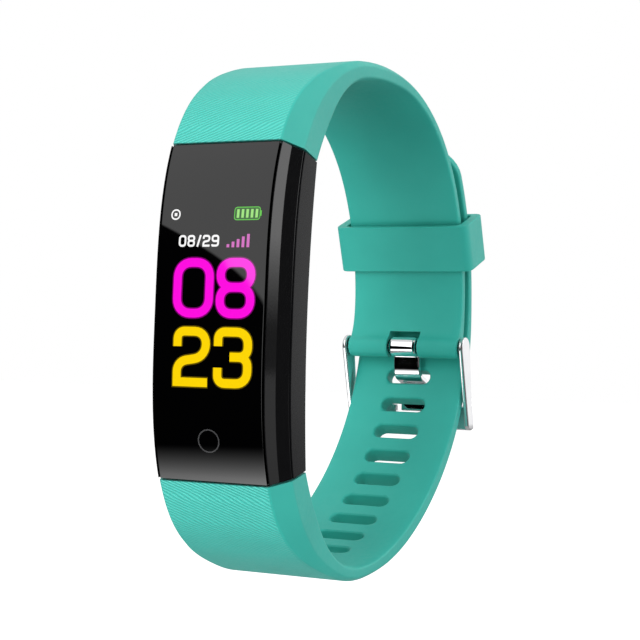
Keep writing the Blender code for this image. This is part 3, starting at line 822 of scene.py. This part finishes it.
def back_pieces():
    satin = surface("cover_satin", (0.007, 0.007, 0.008), 0.26, grain=3000.0, depth=0.000003, specular=0.06)
    cover = capsule_shell("rear_shell", cover_corners, satin, edge=0.25)
    hollow = capsule_shell("hollow", cavity_corners, None, reach=CAVITY_REACH)
    hole = disc("sensor_hole", SENSOR_HOLE, -28.5, -24.0, None, 0.05)
    carve(cover, [hollow, hole, pocket("cover_tongue_cut", -1)])
    adopt(cover, "band", "rear_cover")
    smoked = glass("smoked_glass", (0.006, 0.012, 0.009), 0.05)
    lid = disc("sensor_lid", SENSOR_LID, -27.0, -26.2, smoked, 0.18)
    adopt(lid, "band", "sensor_window")


# ---- what the display shows


def glass_front(z):
    return CAPSULE_FRONT - GLASS_RISE * (1 - abs(z / CAPSULE_HALF) ** CAPSULE_CURVE) + GLASS_SINK


def round_path(points, radius, closed, steps=7):
    """A flat path with its corners rounded, as points no more than 0.4 mm apart."""
    count = len(points)
    turned = []
    for k, spot in enumerate(points):
        spot = Vector(spot)
        if not closed and k in (0, count - 1):
            turned.append(spot)
            continue
        before, after = Vector(points[k - 1]), Vector(points[(k + 1) % count])
        reach = min(radius, (before - spot).length / 2, (after - spot).length / 2)
        start = spot + (before - spot).normalized() * reach
        stop = spot + (after - spot).normalized() * reach
        a, b = start.lerp(spot, 0.6), stop.lerp(spot, 0.6)
        for i in range(steps + 1):
            t = i / steps
            u = 1 - t
            turned.append(u**3 * start + 3 * u * u * t * a + 3 * u * t * t * b + t**3 * stop)
    if closed:
        turned.append(turned[0])
    path = [turned[0]]
    for spot in turned[1:]:
        gap = (spot - path[-1]).length
        if gap < 1e-4:
            continue
        count = max(1, math.ceil(gap / 0.4))
        start = path[-1]
        path += [start.lerp(spot, k / count) for k in range(1, count + 1)]
    return path


def ribbon(bm, path, wide, place, closed):
    """A flat band along a path; place(u, v) puts a flat point on the window."""
    rows = []
    last = len(path) - 1
    for k, spot in enumerate(path):
        before = path[k - 1] if k else (path[last - 1] if closed else spot)
        after = path[k + 1] if k < last else (path[1] if closed else spot)
        step = (after - before).normalized()
        side = Vector((-step.y, step.x)) * wide / 2
        rows.append([bm.verts.new(place(*(spot + side))), bm.verts.new(place(*(spot - side)))])
    for (a, b), (c, d) in zip(rows, rows[1:]):
        bm.faces.new((a, b, d, c))


def strokes(w, h, radius, wide):
    """Middle lines of the digits, in a box of width w and height h: (points, corner radius, closed)."""
    m = h * 0.515
    tight = radius * 0.85
    ring = ([(0, 0), (w, 0), (w, h), (0, h)], radius, True)
    return {
        "0": [ring],
        "8": [([(0, m), (w, m), (w, h), (0, h)], tight, True),
              ([(0, 0), (w, 0), (w, m), (0, m)], tight, True)],
        "2": [([(0, h * 0.7), (0, h), (w, h), (w, h * 0.5), (0, h * 0.4), (0, 0)], radius, False),
              ([(-wide / 2, 0), (w + wide / 4, 0)], 0.0, False)],
        "3": [([(0, h * 0.72), (0, h), (w, h), (w, m), (w * 0.4, m)], tight, False),
              ([(w * 0.4, m), (w, m), (w, 0), (0, 0), (0, h * 0.3)], tight, False)],
        "9": [([(0, m * 0.9), (w, m * 0.9), (w, h), (0, h)], tight, True),
              ([(w, h * 0.7), (w, 0), (0, 0), (0, h * 0.14)], tight, False)],
        "/": [([(0, -0.1 * h), (w * 0.6, 1.1 * h)], 0.0, False)],
    }


def digit(bm, text, corner, size, wide, squeeze, radius, lift):
    """One digit in a box; squeeze widens its upright strokes."""
    w, h = size[0] / squeeze - wide, size[1] - wide

    def place(u, v):
        z = corner[1] + wide / 2 + v
        return (corner[0] + (wide / 2 + u) * squeeze, glass_front(z) - lift, z)

    for points, turn, closed in strokes(w, h, radius, wide)[text]:
        ribbon(bm, round_path(points, turn, closed), wide, place, closed)


def figure(name, material, text, boxes, bottom, height, wide, squeeze=1.25, radius=1.5, lift=0.03):
    """A row of digits on the window; boxes gives the left side and the width of each."""
    bm = bmesh.new()
    for mark, (left, width) in zip(text, boxes):
        digit(bm, mark, (left, bottom), (width, height), wide, squeeze, radius, lift)
    adopt(make(name, bm, material), "band", None)


def on_glass(name, material, shapes, lift=0.03):
    """Lines on the window: each is (points, corner radius, closed, width)."""
    bm = bmesh.new()

    def place(u, v):
        return u, glass_front(v) - lift, v

    for points, radius, closed, wide in shapes:
        ribbon(bm, round_path(points, radius, closed), wide, place, closed)
    adopt(make(name, bm, material), "band", None)


GLOW = 0.16  # width of the soft light round the big digits
BIG_HEIGHT = 7.6
BIG_STROKE = 1.12
# Rows of the clock: text, each digit's left side and width, bottom, colour, colour of the soft light
CLOCK = (("08", ((-5.45, 5.92), (0.88, 5.58)), -0.9, (1.0, 0.003, 0.76), (0.2, 0.0, 0.15)),
         ("23", ((-5.12, 5.4), (0.87, 5.5)), -9.68, (1.0, 0.68, 0.0), (0.12, 0.08, 0.0)))
DATE = ((-5.0, 1.12), (-3.7, 1.12), (-2.35, 1.0), (-1.45, 1.12), (-0.15, 1.12))


def big_digits(text, boxes, bottom, lit, dim):
    """Two big digits with a soft light behind them."""
    form = dict(squeeze=1.06, radius=1.9)
    halo = [(left - GLOW, width + 2 * GLOW) for left, width in boxes]
    figure("glow_" + text, glowing("halo_" + text, dim), text, halo, bottom - GLOW,
           BIG_HEIGHT + 2 * GLOW, BIG_STROKE + 2 * GLOW, lift=0.012, **form)
    figure("digits_" + text, glowing("lit_" + text, lit), text, boxes, bottom, BIG_HEIGHT, BIG_STROKE,
           **form)


def battery_symbol(green):
    cell = [(2.95, 11.55), (6.6, 11.55), (6.6, 13.15), (2.95, 13.15)]
    knob = ([(6.72, 12.0), (6.72, 12.7)], 0.0, False, 0.22)
    cells = [([(3.45 + 0.67 * k, 11.8), (3.45 + 0.67 * k, 12.9)], 0.0, False, 0.36) for k in range(5)]
    inside = ([(3.05, 12.35), (6.5, 12.35)], 0.0, False, 1.45)
    on_glass("battery_fill", glowing("lit_green_dim", (0.015, 0.11, 0.012)), [inside], lift=0.015)
    on_glass("battery_icon", green, [(cell, 0.35, True, 0.12), knob])
    on_glass("battery_cells", glowing("lit_green_pale", (0.32, 0.75, 0.18)), cells)


def touch_key():
    grey = surface("key_print", (0.05, 0.05, 0.052), 0.2, grain=3000.0, depth=0.000002)
    turns = [math.radians(10 * k) for k in range(36)]
    key = [(0.05 + 1.5 * math.cos(a), -16.5 + 1.42 * math.sin(a)) for a in turns]
    on_glass("touch_key_ring", grey, [(key, 0.05, True, 0.17)])


def display():
    white = glowing("lit_white", (0.95, 0.95, 0.95))
    pink = glowing("lit_pink", (0.62, 0.13, 0.5))
    green = glowing("lit_green", (0.10, 0.55, 0.045))
    for row in CLOCK:
        big_digits(*row)
    figure("date", white, "08/29", DATE, 8.15, 1.52, 0.27, 1.0, 0.35)
    bars = [([(2.3 + 0.72 * k, 8.05), (2.3 + 0.72 * k, 8.45 + 0.32 * k)], 0.0, False, 0.4) for k in range(5)]
    on_glass("activity_bars", pink, bars)
    ring = [(-6.35, 11.75), (-5.15, 11.75), (-5.15, 12.95), (-6.35, 12.95)]
    dot = ([(-5.95, 12.35), (-5.55, 12.35)], 0.0, False, 0.4)
    on_glass("round_icon", white, [(ring, 0.6, True, 0.2), dot])
    battery_symbol(green)
    touch_key()


# ---- keeper and buckle


def keeper():
    base = KEEPER_CENTRE + KEEPER_ARC[0] * outward(KEEPER_HEADING)
    normal = outward(KEEPER_HEADING - KEEPER_LEAN)
    run = travel(KEEPER_HEADING - KEEPER_LEAN)
    half = KEEPER_HEIGHT / 2
    play = GAP + half * math.tan(math.radians(KEEPER_LEAN))
    inside = -play - half**2 / (2 * KEEPER_ARC[0])
    outside = THIN + LAYER_GAP + TAIL_THIN + play
    wall = KEEPER_WALL

    def ring(width, low, high, radius):
        return rounded([(-width, low), (width, low), (width, high), (-width, high)], [radius] * 4, 6)

    def tube(name, outline, reach, material):
        def place(u, v, k):
            return (u, *(base + normal * v + run * (-reach, reach)[k]))
        return prism(name, outline, place, material)

    outer = ring(KEEPER_HALF_WIDTH, inside - wall, outside + wall, 1.5)
    inner = ring(WIDEST_HALF + KEEPER_PLAY, inside, outside, 0.9)
    loop = tube("keeper_silicone", outer, half, silicone("silicone_keeper", ribbed=False))
    carve(loop, [tube("keeper_cut", inner, half + 1, None)])
    soften(loop, 0.16, 3, 50.0)
    adopt(loop, "keeper", "keeper_loop")


def arm_outline():
    top, foot = Vector(PIN), Vector(ARM_FOOT)
    line = (foot - top).normalized()
    tilt = math.degrees(math.atan2(line.y, line.x))
    spread = math.degrees(math.asin((ARM_TOP_RADIUS - ARM_FOOT_RADIUS) / (foot - top).length))
    outline = []
    for centre, radius, first, last in ((top, ARM_TOP_RADIUS, 90 - spread, 270 + spread),
                                        (foot, ARM_FOOT_RADIUS, -90 + spread, 90 - spread)):
        for k in range(25):
            angle = math.radians(tilt + first + (last - first) * k / 24)
            outline.append((centre.x + radius * math.cos(angle), centre.y + radius * math.sin(angle)))
    return outline, tilt


def join(pieces, name):
    """One object from several, in one mesh."""
    bm = bmesh.new()
    for piece in pieces:
        bm.from_mesh(piece.data)
    made = stand_mesh(name, bm, pieces[0].data.materials[0])
    for piece in pieces:
        bpy.data.objects.remove(piece)
    smooth(made, 50.0)
    return made


def arm(side, outline, metal):
    inner, outer = side * ARM_INSIDE, side * (ARM_OUTSIDE - SLIVER)
    made = prism("arm", outline, lambda y, z, k: ((inner, outer)[k], y, z), metal)
    radius, *ends = ARM_HOLE
    carve(made, [rod("arm_hole", radius, *sorted(side * end for end in ends))])
    soften(made, 0.28, 5)
    return made


def crossbar(tilt, metal):
    """The bar across the straps, with a notch that takes the prong's tip."""
    turn = Matrix.Translation((0.0, *CROSSBAR)) @ Matrix.Rotation(math.radians(tilt + 90), 4, "X")
    wide, deep, top = ARM_OUTSIDE - 0.2, CROSSBAR_THICKNESS / 2, CROSSBAR_HEIGHT / 2
    notch, low = CROSSBAR_NOTCH / 2, top - CROSSBAR_NOTCH_DEPTH
    profile = [(-wide, -top), (wide, -top), (wide, top), (notch, top),
               (notch, low), (-notch, low), (-notch, top), (-wide, top)]
    profile = rounded(profile, [0.3, 0.3, 0.3, 0.5, 0.4, 0.4, 0.5, 0.3], 5)
    bar = prism("bar", profile, lambda u, v, k: tuple(turn @ Vector((u, (-deep, deep)[k], v))), metal)
    soften(bar, 0.3, 4)
    return bar


def buckle():
    metal = chrome("buckle_chrome", 0.86)
    outline, tilt = arm_outline()
    parts = [arm(side, outline, metal) for side in (-1, 1)] + [crossbar(tilt, metal)]
    adopt(join(parts, "buckle_loop_chrome"), "buckle_frame", "buckle_frame")


def prong():
    metal = chrome("prong_chrome", 1.0)
    route = [Vector(p) for p in PRONG_ROUTE]
    path = round_path(route, 0.8, False, 6)
    half = PRONG_THICKNESS / 2
    left, right = [], []
    last = len(path) - 1
    for k, spot in enumerate(path):
        step = (path[min(last, k + 1)] - path[max(0, k - 1)]).normalized()
        side = Vector((-step.y, step.x)) * half
        left.append(spot + side)
        right.append(spot - side)
    outline = [tuple(p) for p in left + right[::-1]]
    reach = PRONG_HALF - SLIVER
    plate = prism("plate", outline, lambda y, z, k: ((-reach, reach)[k], y, z), metal)
    soften(plate, 0.22, 4)
    eye = rod("eye", EYE_RADIUS, -reach, reach, metal, edge=0.5)
    carve(eye, [rod("eye_bore", EYE_BORE, -4.0, 4.0)])
    adopt(join([plate, eye], "prong_plate_chrome"), "buckle_prong", "buckle_prong")


# ---- carried-over nodes


def dress_nodes():
    """Gives every CAD node that stays visible its own procedural finish."""
    steel = dict(metallic=1.0, grain=2400.0, stretch=(0.15, 1.0, 1.0), depth=0.000004)
    board = dict(grain=1800.0, depth=0.000006, coat=0.3)
    chip = dict(grain=5000.0, depth=0.000006)
    film = dict(grain=1200.0, depth=0.000003)
    gold = dict(metallic=1.0, grain=2600.0, depth=0.000003)
    green, leds = (0.02, 0.16, 0.07), (0.7, 0.8, 0.66)
    looks = {
        "battery": ((0.62, 0.62, 0.64), 0.38, dict(metallic=0.7, grain=700.0, depth=0.00002)),
        "display_tray": ((0.6, 0.6, 0.62), 0.35, dict(metallic=0.9, grain=1500.0, stretch=(0.2, 1.0, 1.0))),
        "display_panel": ((0.006, 0.006, 0.01), 0.1, film),
        "touch_electrode": ((0.45, 0.22, 0.05), 0.35, film),
        "display_flex": ((0.5, 0.26, 0.06), 0.35, film),
        "main_board": (green, 0.4, board),
        "sensor_board": (green, 0.4, board),
        "usb_tongue": ((0.02, 0.15, 0.07), 0.4, board),
        "lens_gasket": ((0.02, 0.02, 0.02), 0.8, dict(grain=4000.0, depth=0.00002)),
        "antenna_chip": ((0.75, 0.78, 0.72), 0.5, chip),
        "sensor_led_left": (leds, 0.25, chip),
        "sensor_led_right": (leds, 0.25, chip),
        "photodiode": ((0.02, 0.02, 0.025), 0.15, chip),
    }
    for name in ("radio_chip", "memory_chip", "motion_sensor"):
        looks[name] = ((0.018, 0.018, 0.019), 0.5, chip)
    for name in ("motor_body", "motor_weight", "pin_barrel", "pin_tip_left", "pin_tip_right", "pin_spring"):
        looks[name] = ((0.52, 0.53, 0.55), 0.28, steel)
    for k in range(1, 5):
        looks[f"usb_contact_{k}"] = ((0.85, 0.6, 0.2), 0.25, gold)
    for name, (colour, roughness, extra) in looks.items():
        finish = surface("finish_" + name, colour, roughness, **extra)
        NODES[name].material_slots[0].material = finish


# ---- studio

WORLD_ABOVE = 0.72
WORLD_BELOW = 0.32
CAMERA_PLACE = Vector((0.10028, -0.20444, -0.00807))
CAMERA_RIGHT = Vector((0.89420, 0.44620, 0.03622))
CAMERA_UP = Vector((-0.01551, -0.04997, 0.99863))
CAMERA_BACK = Vector((0.44740, -0.89354, -0.03776))
FLOOR_DROP = 0.03  # the band is held by the wrist, so the floor lies below it
WINDOW_CARD_DISTANCE = 0.4
WINDOW_CARD_HALF = (200, 450)
WINDOW_EDGE = ((-7.6, 10.9), (8.0, 1.2))  # ends of the slanted edge of light on the window (X, Z)
WINDOW_GLOW = (-17.0, -21.7)  # where the glow at the window's foot starts and is full (Z)
SIDE_CARD_DISTANCE = 500.0
# Panels that only mirror rays see: azimuths, elevations, light at the foot and at the head
SIDE_CARDS = {
    "card_strip": ((4.0, 23.0), (-38.0, 38.0), 0.0, 0.0),
    "card_bevel_dark": ((23.0, 43.0), (-1.5, 1.8), 0.1, 0.1),
    "card_bevel_fade": ((23.0, 43.0), (1.8, 7.5), 0.1, 2.4),
    "card_bevel_lit": ((23.0, 43.0), (7.5, 35.0), 2.4, 2.4),
    "card_arm_lit": ((46.0, 90.0), (-3.0, 45.0), 1.0, 1.15),
    "card_rear_dim": ((46.0, 90.0), (-30.0, -3.0), 0.1, 0.5),
    "card_front_dark": ((-98.0, -12.0), (-42.0, 42.0), 0.0, 0.0),
    "card_left_dark": ((-180.0, -140.0), (-42.0, 42.0), 0.0, 0.0),
}
# Lamps: place, size, power
LAMPS = {
    "key": ((-0.1, -0.7, 0.25), (0.4, 0.5), 2.2),
    "low": ((-0.05, -0.62, -0.35), (0.4, 0.4), 2.0),
    "rim": ((0.65, 0.15, 0.15), (0.4, 0.4), 1.0),
    "top": ((0.0, -0.1, 0.8), (0.8, 0.8), 0.6),
}


def pose(right, up, back, place):
    """A matrix from three directions and a place."""
    rows = [(right[k], up[k], back[k], place[k]) for k in range(3)]
    return Matrix(rows + [(0.0, 0.0, 0.0, 1.0)])


def hide(made, *rays):
    """Hides an object from some kinds of ray."""
    for ray in rays:
        setattr(made, "visible_" + ray, False)


def camera():
    data = bpy.data.cameras.new("camera")
    data.lens = 87.1
    data.sensor_width = 36.0
    data.clip_start = 0.01
    data.clip_end = 50.0
    made = stand("camera", data)
    made.matrix_world = pose(CAMERA_RIGHT, CAMERA_UP, CAMERA_BACK, CAMERA_PLACE)
    bpy.context.scene.camera = made


def lamp(name, place, size, power):
    """A soft panel aimed at the object; mirror rays don't see it."""
    data = bpy.data.lights.new(name, "AREA")
    data.shape = "RECTANGLE"
    data.size, data.size_y = size
    data.energy = power
    made = stand(name, data)
    made.location = place
    made.rotation_mode = "QUATERNION"
    made.rotation_quaternion = (Vector() - Vector(place)).to_track_quat("-Z", "Y")
    hide(made, "glossy")


def world():
    """White backdrop; the object is lit by a softer share of it, dimmer from below."""
    made = bpy.data.worlds.new("studio")
    made.use_nodes = True
    tree = made.node_tree
    new, link = tree.nodes.new, tree.links.new
    back = tree.nodes["Background"]
    back.inputs["Color"].default_value = (1.0, 1.0, 1.0, 1.0)
    path = new("ShaderNodeLightPath")
    parts = new("ShaderNodeSeparateXYZ")
    link(new("ShaderNodeTexCoord").outputs["Generated"], parts.inputs[0])
    height = new("ShaderNodeMapRange")
    values = {"From Min": -0.6, "From Max": 0.6, "To Min": WORLD_BELOW, "To Max": WORLD_ABOVE}
    for key, value in values.items():
        height.inputs[key].default_value = value
    link(parts.outputs["Z"], height.inputs["Value"])
    span = new("ShaderNodeMapRange")
    span.inputs["To Max"].default_value = 1.0
    link(height.outputs[0], span.inputs["To Min"])
    link(path.outputs["Is Camera Ray"], span.inputs["Value"])
    link(span.outputs[0], back.inputs["Strength"])
    bpy.context.scene.world = made


def floor():
    level = CAD_BOX[0].z - FLOOR_DROP
    bm = bmesh.new()
    bmesh.ops.create_circle(bm, cap_ends=True, segments=96, radius=6000.0)
    bmesh.ops.translate(bm, verts=bm.verts, vec=(0.0, 0.0, level / MM))
    pale = surface("floor_pale", (0.93, 0.93, 0.93), 0.7, change=0.01, grain=30.0)
    shader = pale.node_tree.nodes["Principled BSDF"]
    shader.inputs["Emission Color"].default_value = (1.0, 1.0, 1.0, 1.0)
    shader.inputs["Emission Strength"].default_value = 0.45
    made = make("studio_floor", bm, pale)
    hide(made, "glossy", "diffuse", "shadow")


def bounce(spot, normal):
    """Direction of the mirror ray from the camera at a point of a surface."""
    look = (spot - CAMERA_PLACE).normalized()
    return look - 2 * look.dot(normal) * normal


def window_ray(x, z):
    """Mirror ray of the camera at a point of the window: where it starts and where it goes."""
    spot = Vector((x, glass_front(z), z)) * MM
    slope = GLASS_RISE * CAPSULE_CURVE * abs(z / CAPSULE_HALF) ** (CAPSULE_CURVE - 1) / CAPSULE_HALF
    slope *= 1 if z > 0 else -1
    return spot, bounce(spot, Vector((0.0, -1.0, slope)).normalized())


def shine(look, power):
    """Turns a material into plain light of the given strength."""
    look.tree.nodes.remove(look.shader)
    light = look.node("ShaderNodeEmission", Strength=power)
    look.tree.links.new(light.outputs[0], look.tree.nodes["Material Output"].inputs["Surface"])


def mirror_only(card):
    """Leaves a panel to the mirror rays."""
    hide(card, "camera", "diffuse", "shadow", "transmission")


def window_plane():
    """The mirrored panel's centre and its sideways, up and onward directions."""
    spot, forward = window_ray(0.0, 0.0)
    across = Vector((0, 0, 1)).cross(forward).normalized()
    return spot + forward * WINDOW_CARD_DISTANCE, across, forward.cross(across), forward


def mirrored_at(plane, x, z):
    """Where on the panel the window's mirror ray lands: sideways and up from the centre."""
    centre, across, up, forward = plane
    start, way = window_ray(x, z)
    reach = (centre - start).dot(forward) / way.dot(forward)
    offset = start + way * reach - centre
    return offset.dot(across), offset.dot(up)


def window_light(look, plane):
    """The panel's light: bright above a slanted edge, none below it, a soft glow at the foot."""
    low, high = [mirrored_at(plane, *end) for end in WINDOW_EDGE]
    edge = Vector(high) - Vector(low)
    slope = Vector((-edge.y, edge.x)).normalized()
    if slope.y < 0:
        slope = -slope
    level = slope.dot(Vector(low))
    dim, lit = [mirrored_at(plane, 0.0, z)[1] for z in WINDOW_GLOW]
    parts = look.node("ShaderNodeSeparateXYZ", Vector=look.place())
    u, v = parts.outputs[0], parts.outputs[1]
    above = look.math("ADD", look.times(u, slope.x), look.times(v, slope.y))
    above = look.times(look.math("SUBTRACT", above, level - 0.0008), 600.0, clamp=True)
    foot = look.math("DIVIDE", look.math("SUBTRACT", dim, v), dim - lit, clamp=True)
    foot = look.times(look.math("POWER", foot, 1.6), 4.0)
    return look.math("ADD", look.times(above, 1.55), foot)


def window_card():
    """The tall panel whose light lies across the window."""
    plane = window_plane()
    look = Look("card_light")
    shine(look, window_light(look, plane))
    half, tall = WINDOW_CARD_HALF
    bm = bmesh.new()
    corners = ((-half, -tall), (half, -tall), (half, tall), (-half, tall))
    bm.faces.new([bm.verts.new((x, y, 0.0)) for x, y in corners])
    card = make("reflection_card", bm, look.material)
    centre, across, up, forward = plane
    card.matrix_world = pose(across, up, -forward, centre)
    mirror_only(card)


def side_card(name, azimuths, elevations, low, high):
    """A panel at a bearing; its light runs from low at its foot to high at its head."""
    foot, head = [SIDE_CARD_DISTANCE * math.tan(math.radians(elevation)) for elevation in elevations]
    bm = bmesh.new()
    corners = []
    for azimuth, level in ((0, foot), (1, foot), (1, head), (0, head)):
        turn = math.radians(azimuths[azimuth])
        spot = (SIDE_CARD_DISTANCE * math.cos(turn), SIDE_CARD_DISTANCE * math.sin(turn), level)
        corners.append(bm.verts.new(spot))
    bm.faces.new(corners)
    look = Look(name + "_look")
    height = look.node("ShaderNodeSeparateXYZ", Vector=look.place()).outputs[2]
    shine(look, look.spread(height, low, high, foot * MM, head * MM))
    mirror_only(make(name, bm, look.material))


def studio():
    bpy.context.scene.view_settings.view_transform = "Standard"
    world()
    floor()
    camera()
    window_card()
    for name, values in SIDE_CARDS.items():
        side_card(name, *values)
    for name, values in LAMPS.items():
        lamp(name, *values)


strap_upper()
strap_lower()
window_piece()
case_piece()
back_pieces()
display()
keeper()
buckle()
prong()
dress_nodes()
studio()
